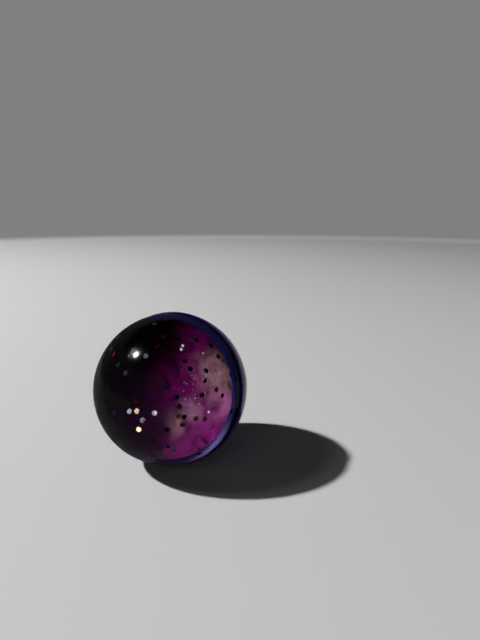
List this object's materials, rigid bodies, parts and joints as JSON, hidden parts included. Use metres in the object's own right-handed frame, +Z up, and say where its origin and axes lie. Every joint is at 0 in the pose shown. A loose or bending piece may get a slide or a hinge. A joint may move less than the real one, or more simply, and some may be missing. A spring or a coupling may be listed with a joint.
{
  "type": "bouncy ball",
  "caption": "Half-clear rubber bouncy ball: a clear front half with glitter in it over a printed galaxy disc, moulded to a glossy indigo rear half.",
  "frame": {"origin": "the point on which the ball rests, straight under its centre", "axes": "+Z up; the middle of the clear half looks along -Y and 14 degrees up"},
  "size_m": [0.045, 0.0445, 0.0445],
  "materials": {
    "indigo_rubber": "glossy",
    "galaxy_print": "printed film",
    "clear_rubber": "clear, glossy",
    "silver_glitter": "metallised film",
    "gold_glitter": "metallised film",
    "red_glitter": "metallised film",
    "green_glitter": "metallised film",
    "blue_glitter": "metallised film",
    "copper_glitter": "metallised film",
    "black_glitter": "metallised film"
  },
  "bodies": {
    "root": {"rear_half": "indigo_rubber", "galaxy_disc": "galaxy_print", "clear_half": "clear_rubber", "silver_flakes": "silver_glitter", "gold_flakes": "gold_glitter", "red_flakes": "red_glitter", "green_flakes": "green_glitter", "blue_flakes": "blue_glitter", "copper_flakes": "copper_glitter", "black_flakes": "black_glitter"}
  },
  "joints": []
}
